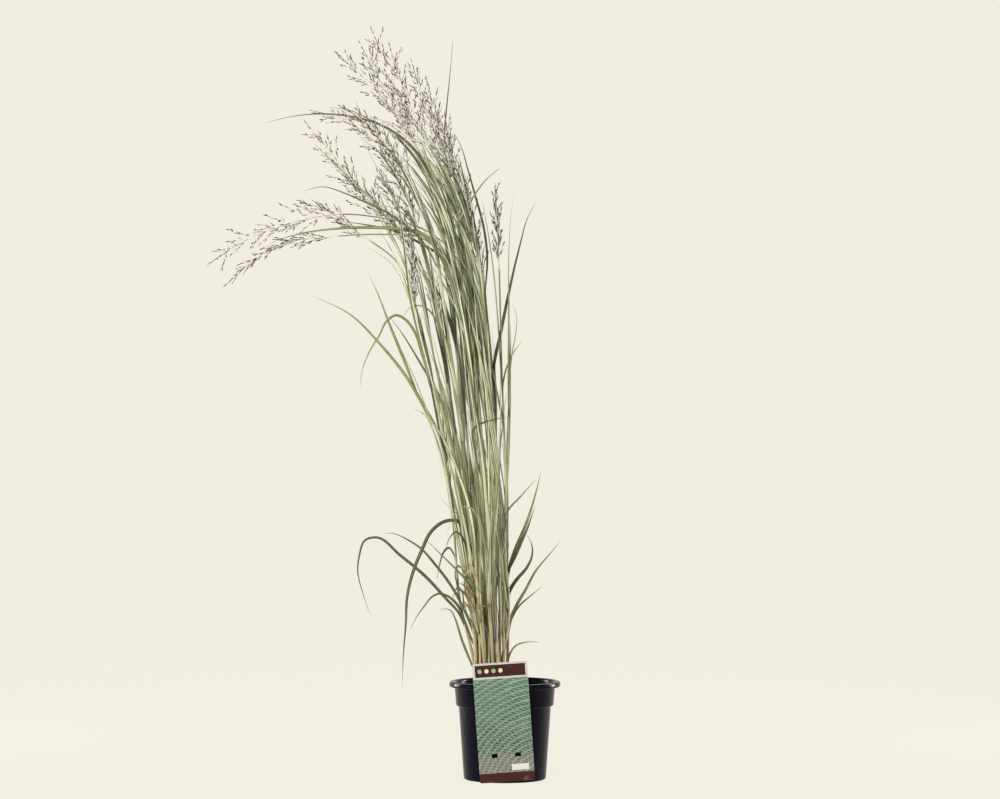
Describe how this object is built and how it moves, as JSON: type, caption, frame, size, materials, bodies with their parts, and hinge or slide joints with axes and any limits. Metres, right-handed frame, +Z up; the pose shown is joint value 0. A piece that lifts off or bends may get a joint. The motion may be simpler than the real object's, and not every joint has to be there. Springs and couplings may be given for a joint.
{
  "type": "feather reed grass",
  "caption": "Tall tuft of feather reed grass with feathery seed heads that lean to one side, growing in a round nursery pot that carries a care label.",
  "frame": {"origin": "centre of the pot's flat base, on the surface that it stands on", "axes": "+Z up along the pot's axis; -Y towards the front, where the label hangs; the tuft leans towards -X"},
  "size_m": [0.5421, 0.3721, 1.15],
  "materials": {
    "pot": "satin",
    "soil": "matte",
    "label": "gloss",
    "stem": "satin",
    "panicle": "matte"
  },
  "bodies": {
    "root": {"pot": "pot", "soil": "soil", "label": "label", "stem_01": "stem", "stem_02": "stem", "stem_03": "stem", "stem_04": "stem", "stem_05": "stem", "stem_06": "stem", "stem_07": "stem", "stem_08": "stem", "stem_09": "stem", "stem_10": "stem", "stem_11": "stem", "stem_12": "stem", "stem_13": "stem", "stem_14": "stem", "stem_15": "stem", "stem_16": "stem", "stem_17": "stem", "stem_18": "stem", "stem_19": "stem", "stem_20": "stem", "stem_21": "stem", "stem_22": "stem", "stem_23": "stem", "stem_24": "stem", "stem_25": "stem", "stem_26": "stem", "stem_27": "stem", "stem_28": "stem", "stem_29": "stem", "stem_30": "stem", "stem_31": "stem", "stem_32": "stem", "stem_33": "stem", "stem_34": "stem", "stem_35": "stem", "panicle_01": "panicle", "panicle_02": "panicle", "panicle_03": "panicle", "panicle_04": "panicle", "panicle_05": "panicle", "panicle_06": "panicle", "panicle_07": "panicle", "panicle_08": "panicle", "panicle_09": "panicle", "panicle_10": "panicle", "panicle_11": "panicle", "panicle_12": "panicle", "panicle_13": "panicle", "panicle_14": "panicle", "panicle_15": "panicle", "panicle_16": "panicle", "panicle_17": "panicle", "panicle_18": "panicle", "panicle_19": "panicle", "panicle_20": "panicle", "panicle_21": "panicle", "panicle_22": "panicle"}
  },
  "joints": []
}
